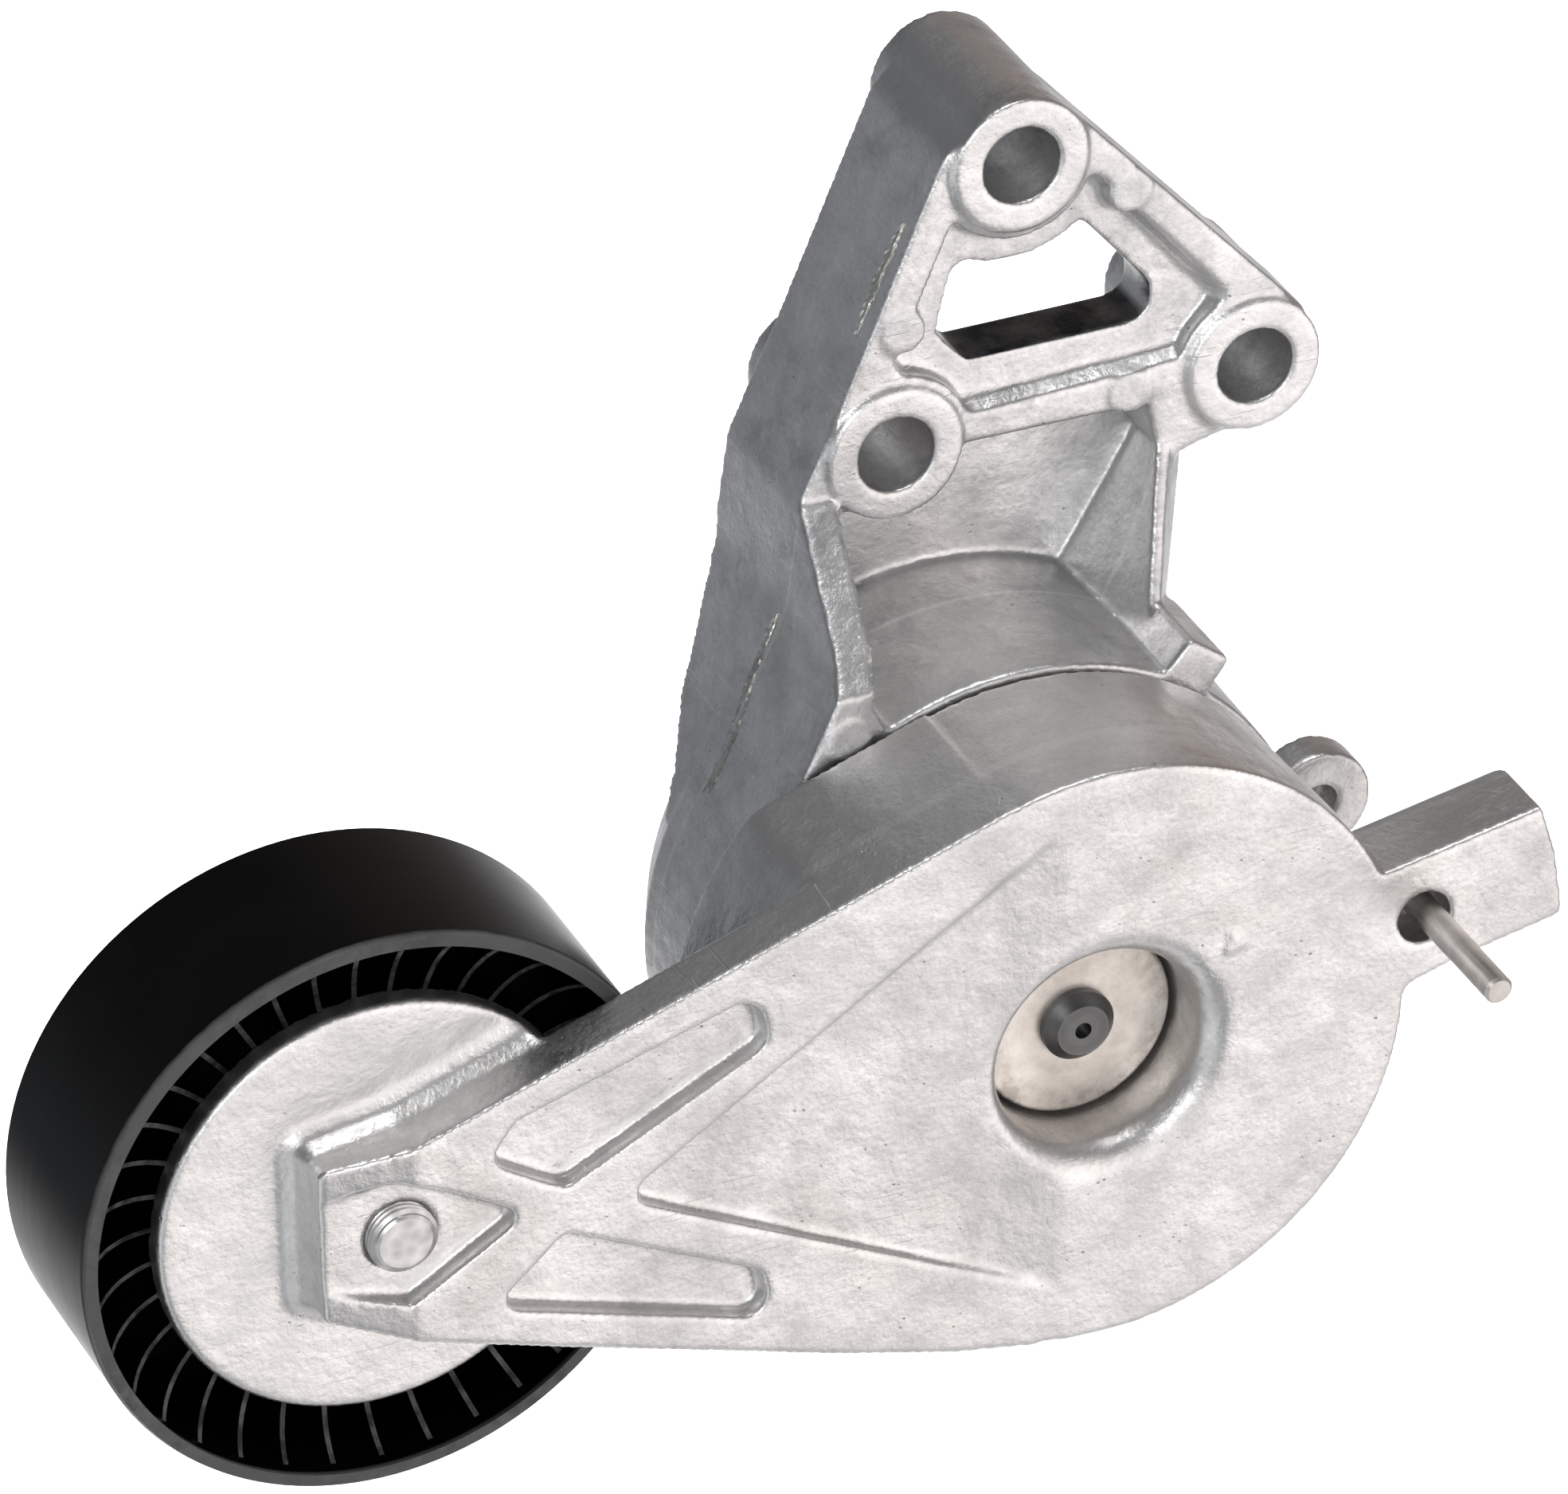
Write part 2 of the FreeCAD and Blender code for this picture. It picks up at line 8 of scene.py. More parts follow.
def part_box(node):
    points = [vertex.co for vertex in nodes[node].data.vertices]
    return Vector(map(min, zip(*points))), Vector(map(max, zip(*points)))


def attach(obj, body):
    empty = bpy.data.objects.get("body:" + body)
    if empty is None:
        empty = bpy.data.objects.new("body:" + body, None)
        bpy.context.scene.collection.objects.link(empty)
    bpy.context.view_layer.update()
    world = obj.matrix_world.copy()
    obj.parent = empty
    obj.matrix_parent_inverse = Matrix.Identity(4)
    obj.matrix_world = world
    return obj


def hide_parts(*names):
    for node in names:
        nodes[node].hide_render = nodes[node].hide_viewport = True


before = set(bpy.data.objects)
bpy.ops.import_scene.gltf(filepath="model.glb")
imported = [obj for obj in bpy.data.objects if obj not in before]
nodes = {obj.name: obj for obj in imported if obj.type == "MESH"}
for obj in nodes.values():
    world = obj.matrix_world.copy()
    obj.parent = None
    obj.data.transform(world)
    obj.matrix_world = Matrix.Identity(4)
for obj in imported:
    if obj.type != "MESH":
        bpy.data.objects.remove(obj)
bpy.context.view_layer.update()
MM = 0.001
CAMERA_AZIMUTH = math.radians(24.1609)      # to the left of straight ahead
CAMERA_ELEVATION = math.radians(31.6379)
CAMERA_PLACE = Vector((-485.85, -1059.01, 722.72)) * MM
ARM_SWING = math.radians(30.0)      # from rest to the lower stop
FLOOR_GAP = 0.5 * MM                # under the pulley at that stop
CASTING_VOXEL = 0.40 * MM           # grid on which a casting's edges are softened
CASTING_PASSES = 5                  # smoothing passes after that
CASTING_FACES_KEPT = 0.34           # share of the faces left after thinning
BOSS_FRONT = -23.0 * MM             # machined front ends of the bracket's bosses, along Y
PLATE_FRONT = -54.5 * MM            # front of the arm's round plate over the pulley, along Y

# two corners of a box round the lower edge of the bracket's window, where faces that look up get painted
# shade
WINDOW_SILL = ((1.0 * MM, -20.4 * MM, 62.0 * MM), (26.0 * MM, 0.0, 72.0 * MM))

# flash lines on the bracket's left wall, from the top down, in mm
FLASH_UPPER = ((-5.3, -19.7, 84.6), (-8.0, -19.2, 78.2), (-10.8, -19.3, 71.6))
FLASH_LOWER = ((-21.3, -21.8, 39.9), (-24.6, -22.2, 32.8), (-27.25, -23.4, 27.0),
               (-31.2, -24.0, 19.5), (-33.3, -24.3, 15.5))


# ---------------------------------------------------------------- camera
def add_camera():
    """The camera looks at the tensioner from its front left, from above."""
    data = bpy.data.cameras.new("camera")
    data.lens = 275.0               # a long lens, about 1.4 m away
    data.sensor_width = 36.0
    data.clip_start = 0.05
    data.clip_end = 50.0
    camera = bpy.data.objects.new("camera", data)
    bpy.context.scene.collection.objects.link(camera)
    level = math.radians(90.0)      # turns a camera that looks straight down to the horizon
    turn = Euler((level - CAMERA_ELEVATION, 0.0, -CAMERA_AZIMUTH))
    camera.matrix_world = Matrix.Translation(CAMERA_PLACE) @ turn.to_matrix().to_4x4()
    bpy.context.scene.camera = camera


# ---------------------------------------------------------------- node helpers
class Nodes:
    """Short calls for building one material's node tree."""

    def __init__(self, name):
        self.material = bpy.data.materials.new(name)
        self.material.use_nodes = True
        self.tree = self.material.node_tree
        self.shader = self.tree.nodes["Principled BSDF"]
        self.place = self.add("ShaderNodeTexCoord").outputs["Object"]

    def add(self, kind, **settings):
        node = self.tree.nodes.new(kind)
        for key, value in settings.items():
            setattr(node, key, value)
        return node

    def link(self, output, socket):
        self.tree.links.new(output, socket)

    def put(self, socket, value):
        if hasattr(value, "is_output"):
            self.link(value, socket)
        else:
            socket.default_value = value

    def stretched(self, scale, turn=(0, 0, 0)):
        node = self.add("ShaderNodeMapping")
        node.inputs["Scale"].default_value = scale
        node.inputs["Rotation"].default_value = turn
        self.link(self.place, node.inputs["Vector"])
        return node.outputs["Vector"]

    def noise(self, scale, detail=4.0, rough=0.55, vector=None, distort=0.0):
        node = self.add("ShaderNodeTexNoise")
        node.inputs["Scale"].default_value = scale
        node.inputs["Detail"].default_value = detail
        node.inputs["Roughness"].default_value = rough
        node.inputs["Distortion"].default_value = distort
        self.link(vector or self.place, node.inputs["Vector"])
        return node.outputs["Fac"]

    def voronoi(self, scale):
        node = self.add("ShaderNodeTexVoronoi", feature="F1")
        node.inputs["Scale"].default_value = scale
        self.link(self.place, node.inputs["Vector"])
        return node.outputs["Distance"]

    def parts(self, vector):
        """The X, Y and Z sockets of a vector."""
        node = self.add("ShaderNodeSeparateXYZ")
        self.link(vector, node.inputs[0])
        return node.outputs

    def facing(self):
        """The parts of the surface's own direction."""
        return self.parts(self.add("ShaderNodeTexCoord").outputs["Normal"])

    def ramp(self, value, low, high, start, end):
        """Goes from low to high while value goes from start to end, and is held at both ends."""
        node = self.add("ShaderNodeMapRange", clamp=True)
        self.put(node.inputs["Value"], value)
        node.inputs["From Min"].default_value = start
        node.inputs["From Max"].default_value = end
        node.inputs["To Min"].default_value = low
        node.inputs["To Max"].default_value = high
        return node.outputs["Result"]

    def math(self, operation, a, b=0.0):
        node = self.add("ShaderNodeMath", operation=operation)
        self.put(node.inputs[0], a)
        self.put(node.inputs[1], b)
        return node.outputs[0]

    def mix(self, amount, first, second):
        """Goes from the first colour to the second. Sockets 6, 7 and 2 are the node's colour sockets."""
        node = self.add("ShaderNodeMix", data_type="RGBA")
        self.put(node.inputs["Factor"], amount)
        self.put(node.inputs[6], first)
        self.put(node.inputs[7], second)
        return node.outputs[2]

    def bump(self, height, distance, strength=1.0, below=None):
        node = self.add("ShaderNodeBump")
        node.inputs["Strength"].default_value = strength
        node.inputs["Distance"].default_value = distance
        self.link(height, node.inputs["Height"])
        if below is not None:
            self.link(below, node.inputs["Normal"])
        return node.outputs["Normal"]

    def finish(self, color, rough, normal=None, metallic=0.0, **more):
        self.put(self.shader.inputs["Base Color"], color)
        self.put(self.shader.inputs["Roughness"], rough)
        self.put(self.shader.inputs["Metallic"], metallic)
        for key, value in more.items():
            self.put(self.shader.inputs[key.replace("_", " ")], value)
        if normal is not None:
            self.link(normal, self.shader.inputs["Normal"])
        return self.material


def grey(value, warm=0.0):
    """Grey that leans to orange where warm is above 0, and to blue below."""
    return (value * (1 + warm), value, value * (1 - warm), 1.0)


# ---------------------------------------------------------------- materials
def cast_aluminium(name, light, dark, offset, pale_from, pale_to, stained=0.30, smudged=0.0, painted_shade_box=None):
    """As-cast aluminium: cloudy flow marks, warm stains, smudges, a fine grain, pits and handling scratches.
    offset moves the pattern. Between pale_from and pale_to along Y the metal is paler.
    Faces that look up in the box painted_shade_box, given by two opposite corners, are darkened almost to
    black as painted shade."""
    n = Nodes(name)
    place = n.parts(n.place)
    edge = 0.15 * MM
    above = n.ramp(place["Y"], 0.0, 1.0, pale_from - edge, pale_from + edge)
    below = n.ramp(place["Y"], 1.0, 0.0, pale_to - edge, pale_to + edge)
    pale = n.math("MULTIPLY", above, below)
    painted_shade_mask = None
    # painted shade: faces that look up inside the window box are darkened, where shade falls in the recess
    if painted_shade_box is not None:
        painted_shade_mask = n.ramp(n.facing()["Z"], 0.0, 1.0, 0.55, 0.80)
        fade = 0.6 * MM
        for axis, start, end in zip("XYZ", *painted_shade_box):
            painted_shade_mask = n.math("MULTIPLY", painted_shade_mask, n.ramp(place[axis], 0.0, 1.0, start, start + fade))
            painted_shade_mask = n.math("MULTIPLY", painted_shade_mask, n.ramp(place[axis], 1.0, 0.0, end - fade, end))
    shifted = n.add("ShaderNodeVectorMath", operation="ADD")
    n.link(n.place, shifted.inputs[0])
    shifted.inputs[1].default_value = (offset, offset * 0.7, -offset)
    n.place = shifted.outputs[0]
    clouds = n.noise(36.0, 6.0, 0.66, distort=0.9)
    patches = n.noise(170.0, 5.0, 0.66)
    grain = n.noise(1700.0, 3.0, 0.65)
    sparkle = n.ramp(n.noise(2600.0, 2.0, 0.7), 0.0, 1.0, 0.64, 0.74)
    stains = n.ramp(n.noise(31.0, 5.0, 0.6, distort=1.4), 0.0, 1.0, 0.54, 0.70)
    pits = n.ramp(n.voronoi(800.0), 1.0, 0.0, 0.02, 0.18)
    rare = n.ramp(n.noise(260.0, 2.0), 0.0, 1.0, 0.58, 0.68)
    pits = n.math("MULTIPLY", pits, rare)

    scratches = None
    for turn, roll in ((0.5, 3.0), (-0.9, 9.0), (1.3, 17.0)):
        lanes = n.stretched((60.0, 60.0, 2600.0), (roll, turn, turn * 0.4))
        lane = n.noise(1.0, 1.0, 0.4, vector=lanes)
        thin = n.ramp(lane, 0.0, 1.0, 0.745, 0.765)
        scratches = thin if scratches is None else n.math("MAXIMUM", scratches, thin)
    where = n.ramp(n.noise(28.0, 2.0), 0.0, 1.0, 0.50, 0.62)
    scratches = n.math("MULTIPLY", scratches, where)

    tone = n.math("ADD", n.math("MULTIPLY", clouds, 0.55), n.math("MULTIPLY", patches, 0.45))
    color = n.mix(n.ramp(tone, 0.0, 1.0, 0.38, 0.62), dark, light)
    color = n.mix(n.math("MULTIPLY", stains, stained), color, (0.50, 0.462, 0.425, 1.0))
    smudges = n.ramp(n.noise(88.0, 7.0, 0.74, distort=0.5), 0.0, smudged, 0.53, 0.68)
    color = n.mix(smudges, color, (0.34, 0.345, 0.36, 1.0))
    color = n.mix(n.ramp(grain, 0.0, 0.24, 0.30, 0.72), color, grey(0.42))
    color = n.mix(n.math("MULTIPLY", pale, 0.45), color, grey(0.90, 0.006))
    color = n.mix(n.math("MULTIPLY", sparkle, 0.35), color, grey(0.96))
    color = n.mix(n.math("MULTIPLY", pits, 0.75), color, grey(0.16, 0.02))
    color = n.mix(n.math("MULTIPLY", scratches, 0.45), color, grey(0.93))
    # lays the painted shade into the colour, near-black with a blue lean
    if painted_shade_mask is not None:
        uneven = n.ramp(patches, 0.80, 1.0, 0.35, 0.60)
        color = n.mix(n.math("MULTIPLY", painted_shade_mask, uneven), color, grey(0.032, -0.10))
    rough = n.ramp(tone, 0.48, 0.32, 0.36, 0.64)
    rough = n.math("ADD", rough, n.math("MULTIPLY", n.math("SUBTRACT", grain, 0.5), 0.22))
    low = n.bump(n.noise(210.0, 3.0, 0.5), 0.00050, 0.5)
    skin = n.bump(n.noise(700.0, 3.0, 0.6), 0.00014, 0.5, below=low)
    fine = n.bump(grain, 0.00009, 0.6, below=skin)
    marks = n.math("SUBTRACT", n.math("MULTIPLY", scratches, -1.0), pits)
    normal = n.bump(marks, 0.00014, 0.6, below=fine)
    return n.finish(color, rough, normal, metallic=1.0)


def turned_metal(name, base, rough, centre, warm=0.0, lanes=2200.0, depth=0.00004, ringed=0.5,
                 dirty_from=None):
    """Steel with turning marks about an axis along Y through centre (x, z). ringed is the share of the
    marks in the tone. Outside the radius dirty_from it is patchily soiled."""
    n = Nodes(name)
    place = n.parts(n.place)
    dx = n.math("SUBTRACT", place["X"], centre[0])
    dz = n.math("SUBTRACT", place["Z"], centre[1])
    radius = n.math("SQRT", n.math("ADD", n.math("MULTIPLY", dx, dx), n.math("MULTIPLY", dz, dz)))
    joined = n.add("ShaderNodeCombineXYZ")
    n.link(radius, joined.inputs[0])
    n.link(place["Y"], joined.inputs[1])
    rings = n.noise(lanes, 3.0, 0.6, vector=joined.outputs[0])
    blotch = n.noise(160.0, 6.0, 0.68)
    tone = n.math("ADD", n.math("MULTIPLY", rings, ringed), n.math("MULTIPLY", blotch, 1.0 - ringed))
    dull = grey(base * 0.72, warm)
    bright = grey(base * 1.15, warm * 0.7)
    color = n.mix(n.ramp(tone, 0.0, 1.0, 0.3, 0.7), dull, bright)
    if dirty_from is not None:
        outside = n.ramp(radius, 0.0, 1.0, dirty_from, dirty_from + 3.0 * MM)
        soil = n.ramp(n.noise(330.0, 5.0, 0.7), 0.0, 0.75, 0.46, 0.62)
        color = n.mix(n.math("MULTIPLY", outside, soil), color, grey(base * 0.45, warm * 1.6))
    rough_value = n.ramp(tone, rough + 0.08, rough - 0.06, 0.3, 0.7)
    return n.finish(color, rough_value, n.bump(rings, depth, 0.5), metallic=1.0)


def drawn_steel(name, base, rough, warm=0.0):
    """Steel drawn along Y: long fine lines and a slightly uneven tone."""
    n = Nodes(name)
    lines = n.noise(1.0, 3.0, 0.6, vector=n.stretched((3200.0, 90.0, 3200.0)))
    blotch = n.noise(240.0, 3.0, 0.6)
    dull = grey(base * 0.75, warm)
    bright = grey(base * 1.12, warm)
    color = n.mix(n.ramp(blotch, 0.0, 1.0, 0.3, 0.7), dull, bright)
    rough_value = n.ramp(lines, rough - 0.06, rough + 0.1, 0.3, 0.7)
    return n.finish(color, rough_value, n.bump(lines, 0.00003, 0.6), metallic=1.0)


def zinc(name, base):
    """Zinc plate with a fine spangle."""
    n = Nodes(name)
    spangle = n.voronoi(650.0)
    haze = n.noise(220.0, 4.0, 0.6)
    tone = n.math("ADD", n.math("MULTIPLY", spangle, 0.5), n.math("MULTIPLY", haze, 0.6))
    color = n.mix(n.ramp(tone, 0.0, 1.0, 0.25, 0.75), grey(base * 0.7, 0.01), grey(base * 1.1, 0.01))
    rough_value = n.ramp(tone, 0.42, 0.26, 0.25, 0.75)
    return n.finish(color, rough_value, n.bump(haze, 0.0001, 0.4), metallic=1.0)


def moulded(name, base, rough, sheen=0.5, lanes=700.0, pale_edge=None, rib_highlight_plane=None):
    """Dark moulded nylon with faint rings from the mould and fine dust.
    pale_edge is the plane along Y of a rubbed edge, which is greyer. In front of the plane
    rib_highlight_plane, other faces that look forward are painted paler still, as a highlight on the ribs'
    front edges."""
    n = Nodes(name)
    rings = n.noise(1.0, 2.0, 0.5, vector=n.stretched((6.0, lanes, 6.0)))
    haze = n.noise(60.0, 4.0, 0.6)
    dust = n.ramp(n.noise(1900.0, 2.0, 0.7), 0.0, 1.0, 0.66, 0.78)
    color = n.mix(n.ramp(haze, 0.0, 1.0, 0.3, 0.7), grey(base * 0.7), grey(base * 1.3))
    color = n.mix(n.math("MULTIPLY", dust, 0.012), color, grey(0.16, 0.02))
    height = n.parts(n.place)["Y"]
    if rib_highlight_plane is not None:
        # painted highlight: faces that look forward near the rib tips are lightened, as if lit from the
        # front
        forward = n.ramp(n.facing()["Y"], 1.0, 0.0, -0.60, -0.30)
        near = n.ramp(height, 1.0, 0.0, rib_highlight_plane - 0.2 * MM, rib_highlight_plane)
        highlight_patches = n.ramp(n.noise(420.0, 3.0, 0.6), 0.25, 1.0, 0.36, 0.60)
        color = n.mix(n.math("MULTIPLY", n.math("MULTIPLY", forward, near), highlight_patches), color, grey(0.055))
    if pale_edge is not None:
        edge = n.ramp(height, 1.0, 0.0, pale_edge + 0.25 * MM, pale_edge + 0.75 * MM)
        rubbed = n.ramp(haze, 0.55, 1.0, 0.35, 0.6)
        color = n.mix(n.math("MULTIPLY", edge, rubbed), color, grey(0.034))
    rough_value = n.ramp(haze, rough - 0.04, rough + 0.07, 0.3, 0.7)
    return n.finish(color, rough_value, n.bump(rings, 0.00004, 0.35), Specular_IOR_Level=sheen)


def plain_floor():
    """Nearly white paper."""
    n = Nodes("floor_paper")
    tone = n.noise(3.0, 3.0, 0.5)
    color = n.mix(tone, grey(0.90), grey(0.93))
    return n.finish(color, 0.85, n.bump(n.noise(900.0, 2.0), 0.0001, 0.1))


# ---------------------------------------------------------------- shapes
def link_object(name, mesh, body):
    piece = bpy.data.objects.new(name, mesh)
    bpy.context.scene.collection.objects.link(piece)
    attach(piece, body)
    return piece


def soft_casting(node, name, body):
    """Copy of a casting with the small radii that a die leaves on every edge and inner corner.
    It stays inside the casting's own box."""
    mesh = nodes[node].data.copy()
    work = bmesh.new()
    work.from_mesh(mesh)
    bmesh.ops.remove_doubles(work, verts=work.verts, dist=0.001 * MM)
    work.to_mesh(mesh)
    work.free()
    scratch = bpy.data.objects.new(name + "_work", mesh)
    bpy.context.scene.collection.objects.link(scratch)
    remesh = scratch.modifiers.new("voxels", "REMESH")
    remesh.mode = "VOXEL"
    remesh.voxel_size = CASTING_VOXEL
    remesh.use_smooth_shade = True
    smooth = scratch.modifiers.new("soften", "SMOOTH")
    smooth.factor = 0.5
    smooth.iterations = CASTING_PASSES
    thin = scratch.modifiers.new("thin", "DECIMATE")
    thin.ratio = CASTING_FACES_KEPT
    graph = bpy.context.evaluated_depsgraph_get()
    done = bpy.data.meshes.new_from_object(scratch.evaluated_get(graph))
    bpy.data.objects.remove(scratch)
    done.name = name
    lowest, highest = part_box(node)
    for vertex in done.vertices:
        for axis in range(3):
            vertex.co[axis] = min(max(vertex.co[axis], lowest[axis]), highest[axis])
    for polygon in done.polygons:
        polygon.use_smooth = True
    piece = link_object(name, done, body)
    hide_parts(node)
    return piece


def flash_strip(name, body, corners, outward, width, seed):
    """Rough, low remains of trimmed casting flash along a line of points, in mm, on a wall.
    outward points away from the wall."""
    steps = 14                      # cross-sections between two corners
    rim = 0.02 * MM
    buried = -0.3 * MM              # foot of the strip, inside the wall
    chance = random.Random(seed)
    line = [Vector(corner) * MM for corner in corners]
    points = []
    for start, end in zip(line, line[1:]):
        points += [start.lerp(end, i / steps) for i in range(steps)]
    points.append(line[-1])
    side = Vector((0.0, 1.0, 0.0))
    work = bmesh.new()
    rings = []
    for i, point in enumerate(points):
        along = i / (len(points) - 1)
        taper = math.sin(math.pi * along) ** 0.5
        half = width / 2 * taper * chance.uniform(0.75, 1.15) + 0.05 * MM
        crest = chance.uniform(0.12, 0.30) * MM
        ledge = chance.uniform(0.10, 0.24) * MM
        dip = chance.uniform(0.02, 0.12) * MM
        section = ((-half, buried), (-half, rim), (-half * 0.72, ledge), (-half * 0.2, dip),
                   (half * 0.45, dip), (half * 0.85, crest), (half, rim), (half, buried))
        rings.append([work.verts.new(point + side * x + outward * up) for x, up in section])
    for first, second in zip(rings, rings[1:]):
        for j in range(len(first)):
            k = (j + 1) % len(first)
            work.faces.new((first[j], first[k], second[k], second[j]))
    work.faces.new(rings[0])
    work.faces.new(list(reversed(rings[-1])))
    bmesh.ops.recalc_face_normals(work, faces=work.faces)
    mesh = bpy.data.meshes.new(name)
    work.to_mesh(mesh)
    work.free()
    piece = link_object(name, mesh, body)
    return piece


def dress(piece, material):
    """Gives a whole piece one material."""
    piece.data.materials.clear()
    piece.data.materials.append(material)


def dress_node(node, material):
    """Gives a CAD part one material."""
    for slot in nodes[node].material_slots:
        slot.material = material


# ---------------------------------------------------------------- the tensioner
pulley_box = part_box("idler_pulley")
pulley_centre = ((pulley_box[0].x + pulley_box[1].x) / 2, (pulley_box[0].z + pulley_box[1].z) / 2)
pulley_middle = (pulley_box[0].y + pulley_box[1].y) / 2

housing = soft_casting("base_housing", "housing_casting", "bracket")
arm = soft_casting("tensioner_arm", "arm_casting", "arm")
flash_upper = flash_strip("flash_upper", "bracket", FLASH_UPPER,
                          outward=Vector((-0.92, 0.0, 0.39)), width=1.3 * MM, seed=4)
flash_lower = flash_strip("flash_lower", "bracket", FLASH_LOWER,
                          outward=Vector((-0.90, 0.0, 0.44)), width=1.7 * MM, seed=9)

# the bracket gets painted shade on the up-facing faces along its window's lower edge
bracket_metal = cast_aluminium(
    "bracket_cast_aluminium", (0.88, 0.87, 0.865, 1.0), (0.64, 0.64, 0.645, 1.0), 0.37,
    BOSS_FRONT - 0.3 * MM, BOSS_FRONT + 0.3 * MM, stained=0.55, smudged=0.55, painted_shade_box=WINDOW_SILL)
arm_metal = cast_aluminium(
    "arm_cast_aluminium", (0.91, 0.898, 0.888, 1.0), (0.70, 0.690, 0.685, 1.0), 0.0,
    PLATE_FRONT - 0.6 * MM, PLATE_FRONT + 0.8 * MM)
flash_metal = cast_aluminium(
    "flash_cast_aluminium", (0.86, 0.85, 0.80, 1.0), (0.40, 0.40, 0.37, 1.0), 0.11,
    BOSS_FRONT - 0.3 * MM, BOSS_FRONT + 0.3 * MM)
dress(housing, bracket_metal)
dress(arm, arm_metal)
dress(flash_upper, flash_metal)
dress(flash_lower, flash_metal)

dress_node("pivot_shaft", turned_metal("dark_turned_steel", 0.16, 0.34, (0.0, 0.0)))
dress_node("thrust_washer", turned_metal(
    "washer_turned_steel", 0.76, 0.46, (0.0, 0.0), 0.09, depth=0.00001, ringed=0.16, dirty_from=8.0 * MM))
# the pulley's ribs get a painted highlight on their forward-looking faces
dress_node("idler_pulley", moulded(
    "pulley_nylon", 0.0005, 0.19, sheen=0.12, pale_edge=pulley_box[0].y,
    rib_highlight_plane=pulley_middle - 2.5 * MM))
dress_node("locking_pin", drawn_steel("pin_drawn_steel", 0.62, 0.36, 0.05))
dress_node("pulley_bolt", zinc("bolt_zinc_plate", 0.66))
dress_node("dust_shield_rear", zinc("shield_zinc_plate", 0.60))
dress_node("torsion_spring", drawn_steel("spring_wire", 0.20, 0.40))
bearing_steel = turned_metal(
    "bearing_ground_steel", 0.60, 0.22, pulley_centre, lanes=3000.0, depth=0.00002)
for node in ("bearing_outer_ring", "bearing_inner_ring", "bearing_balls"):
    dress_node(node, bearing_steel)
sleeve_steel = turned_metal("sleeve_turned_steel", 0.45, 0.35, pulley_centre)
for node in ("bearing_cage", "bearing_sleeve"):
    dress_node(node, sleeve_steel)
seal_rubber = moulded("seal_rubber", 0.02, 0.55, sheen=0.3)
for node in ("bearing_seal_front", "bearing_seal_rear"):
    dress_node(node, seal_rubber)
damper_nylon = moulded("damper_nylon", 0.03, 0.45, sheen=0.4)
for node in ("damper_ring", "spring_seat_front", "spring_seat_rear"):
    dress_node(node, damper_nylon)
bush_liner = moulded("bush_liner", 0.14, 0.5, sheen=0.4)
for node in ("pivot_bush_front", "pivot_bush_rear", "friction_disc"):
    dress_node(node, bush_liner)


# ---------------------------------------------------------------- stage
def add_floor():
    """Floor just clear of the pulley when the arm hangs at its lower stop."""
    reach = math.hypot(*pulley_centre)
    tilt = math.atan2(-pulley_centre[1], -pulley_centre[0]) + ARM_SWING
    radius = (pulley_box[1].z - pulley_box[0].z) / 2
    lowest = -reach * math.sin(tilt) - radius
    mesh = bpy.data.meshes.new("floor")
    work = bmesh.new()
    bmesh.ops.create_grid(work, x_segments=2, y_segments=2, size=6.0)
    work.to_mesh(mesh)
    work.free()
    floor = bpy.data.objects.new("floor", mesh)
    floor.location = (0.0, 0.0, lowest - FLOOR_GAP)
    bpy.context.scene.collection.objects.link(floor)
    floor.data.materials.append(plain_floor())
    floor.visible_glossy = False


def add_light(name, place, target, size, power, seen=True):
    """Soft box. One that is not seen makes no reflection in the metal."""
    data = bpy.data.lights.new(name, "AREA")
    data.shape = "RECTANGLE"
    data.size, data.size_y = size
    data.energy = power
    light = bpy.data.objects.new(name, data)
    light.location = place
    light.visible_glossy = seen
    aim = Vector(target) - Vector(place)
    light.rotation_euler = aim.to_track_quat("-Z", "Y").to_euler()
    bpy.context.scene.collection.objects.link(light)


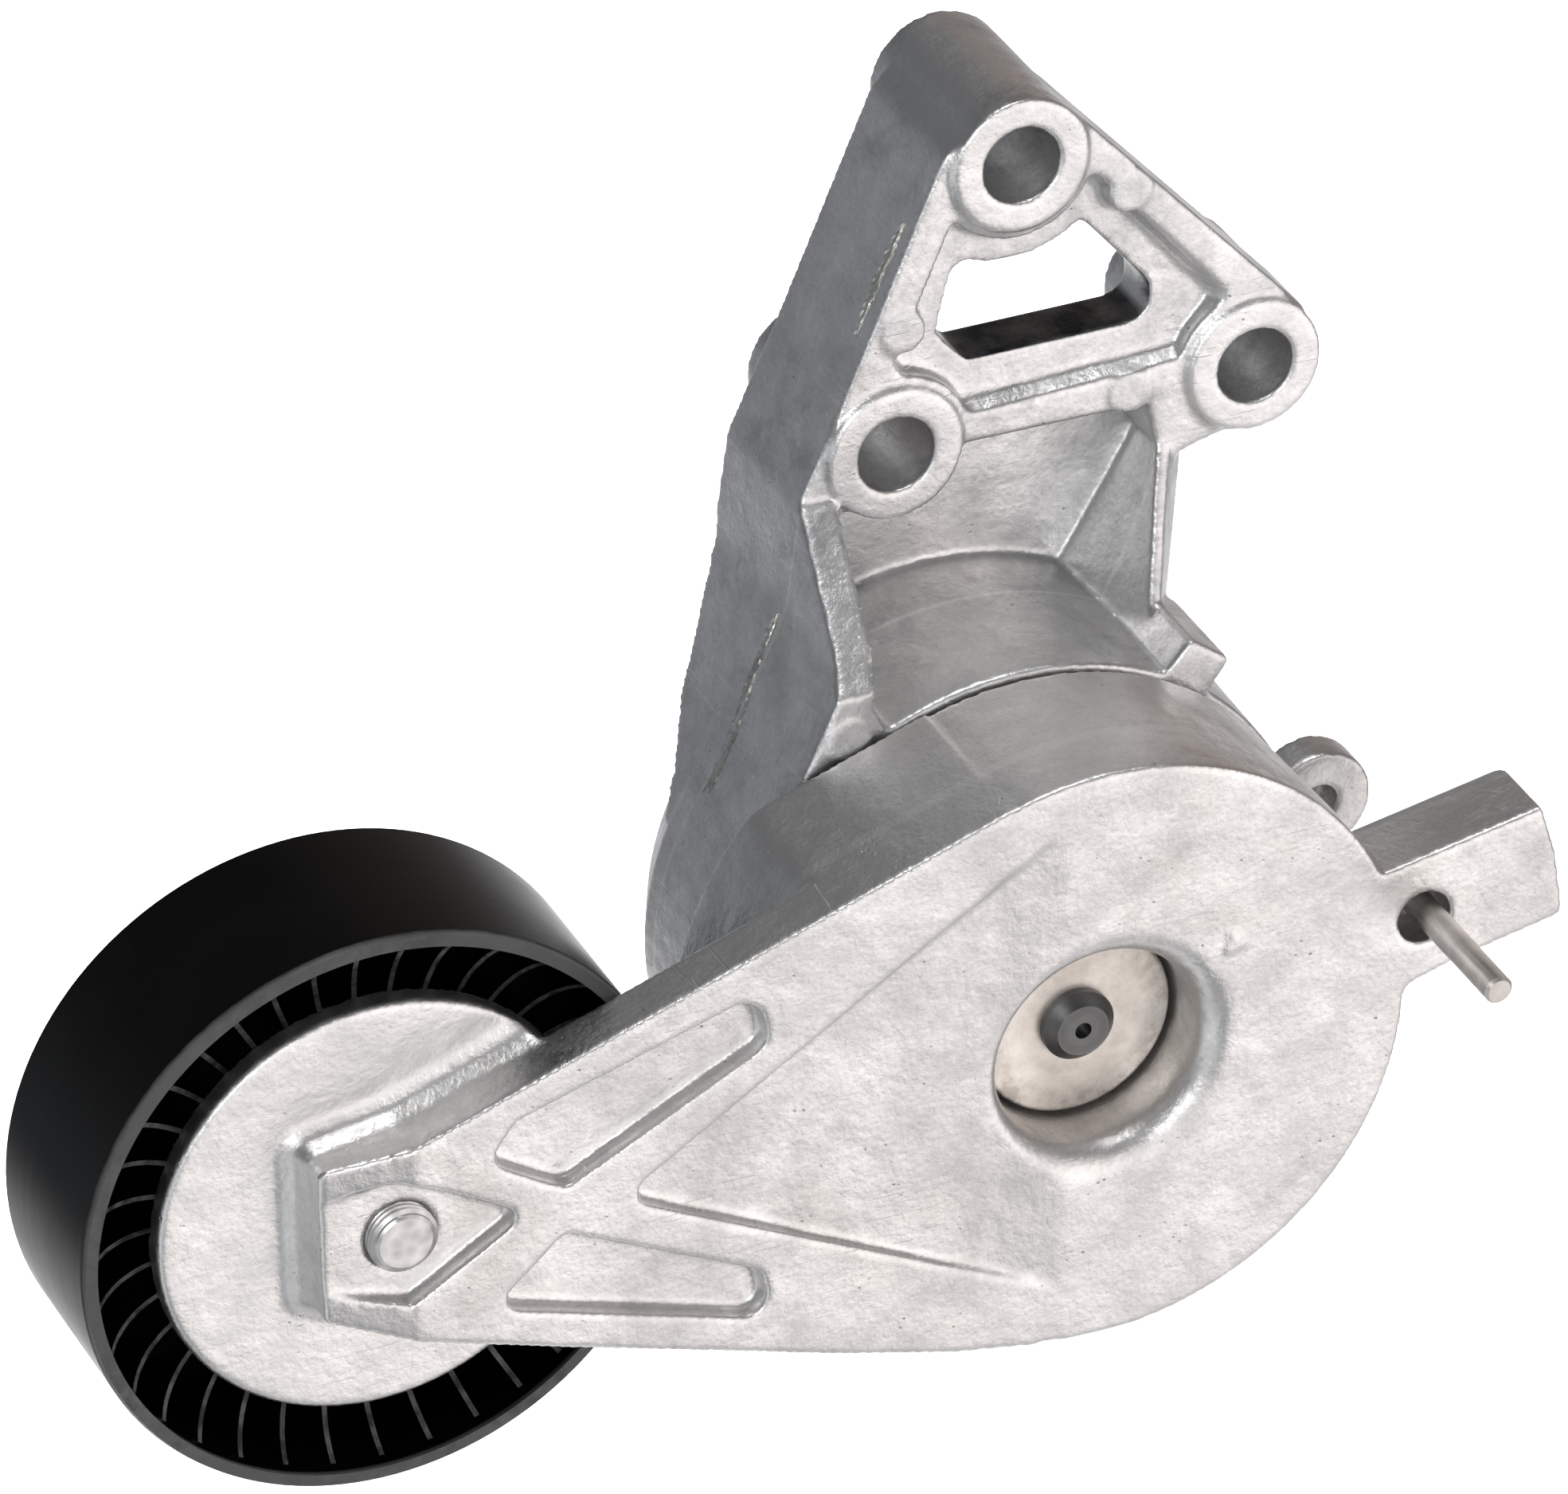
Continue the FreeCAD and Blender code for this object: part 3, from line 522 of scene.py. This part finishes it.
class Studio:
    """World whose brightness is a sum of soft patches, each in its own direction."""

    def __init__(self):
        world = bpy.data.worlds.new("studio")
        bpy.context.scene.world = world
        world.use_nodes = True
        self.tree = world.node_tree
        self.background = self.tree.nodes["Background"]
        self.direction = self.tree.nodes.new("ShaderNodeTexCoord").outputs["Generated"]
        self.total = None

    def patch(self, towards, start, end, color):
        """Adds color, fading in from cosine start to cosine end of the angle to towards."""
        dot = self.tree.nodes.new("ShaderNodeVectorMath")
        dot.operation = "DOT_PRODUCT"
        dot.inputs[1].default_value = Vector(towards).normalized()
        self.tree.links.new(self.direction, dot.inputs[0])
        level = self.tree.nodes.new("ShaderNodeMapRange")
        level.interpolation_type = "SMOOTHSTEP"
        level.inputs["From Min"].default_value = start
        level.inputs["From Max"].default_value = end
        self.tree.links.new(dot.outputs["Value"], level.inputs["Value"])
        tint = self.tree.nodes.new("ShaderNodeVectorMath")
        tint.operation = "SCALE"
        tint.inputs[0].default_value = color
        self.tree.links.new(level.outputs["Result"], tint.inputs["Scale"])
        if self.total is None:
            self.total = tint.outputs[0]
        else:
            both = self.tree.nodes.new("ShaderNodeVectorMath")
            both.operation = "ADD"
            self.tree.links.new(self.total, both.inputs[0])
            self.tree.links.new(tint.outputs[0], both.inputs[1])
            self.total = both.outputs[0]

    def finish(self):
        self.tree.links.new(self.total, self.background.inputs["Color"])


def add_world():
    """Two dim, wide glows, and five smaller patches for single sets of faces to mirror."""
    studio = Studio()
    studio.patch((0.0, 0.0, -1.0), -0.45, 0.20, (0.155, 0.166, 0.180))      # from below
    studio.patch((0.0, 0.0, 1.0), -0.60, -0.20, (0.125, 0.128, 0.133))      # from above
    studio.patch((0.15, 0.35, -0.92), 0.55, 0.82, (0.78, 0.76, 0.75))       # below, a little behind
    studio.patch((0.55, -0.80, -0.10), 0.60, 0.93, (1.19, 1.115, 1.08))     # in front, to the right
    studio.patch((-0.75, -0.35, -0.50), 0.80, 0.97, (0.60, 0.60, 0.60))     # to the left, low
    studio.patch((0.75, 0.55, 0.35), 0.72, 0.95, (0.12, 0.075, 0.050))      # to the right, behind, high
    studio.patch((0.45, 0.80, -0.45), 0.86, 0.99, (0.45, 0.45, 0.45))       # behind, low
    studio.finish()


add_camera()
add_floor()
add_world()
add_light("front_left_light", (-0.68, -1.36, 0.52), (0.0, 0.0, 0.02), (0.8, 0.8), 7.0)
add_light("overhead", (0.05, -0.1, 1.5), (0.0, 0.0, 0.02), (0.45, 0.45), 7.0)
add_light("floor_light", (0.0, 0.8, 3.0), (0.0, 0.8, 0.0), (9.0, 9.0), 950.0, seen=False)

bpy.context.scene.view_settings.view_transform = "Standard"
bpy.context.scene.view_settings.look = "None"
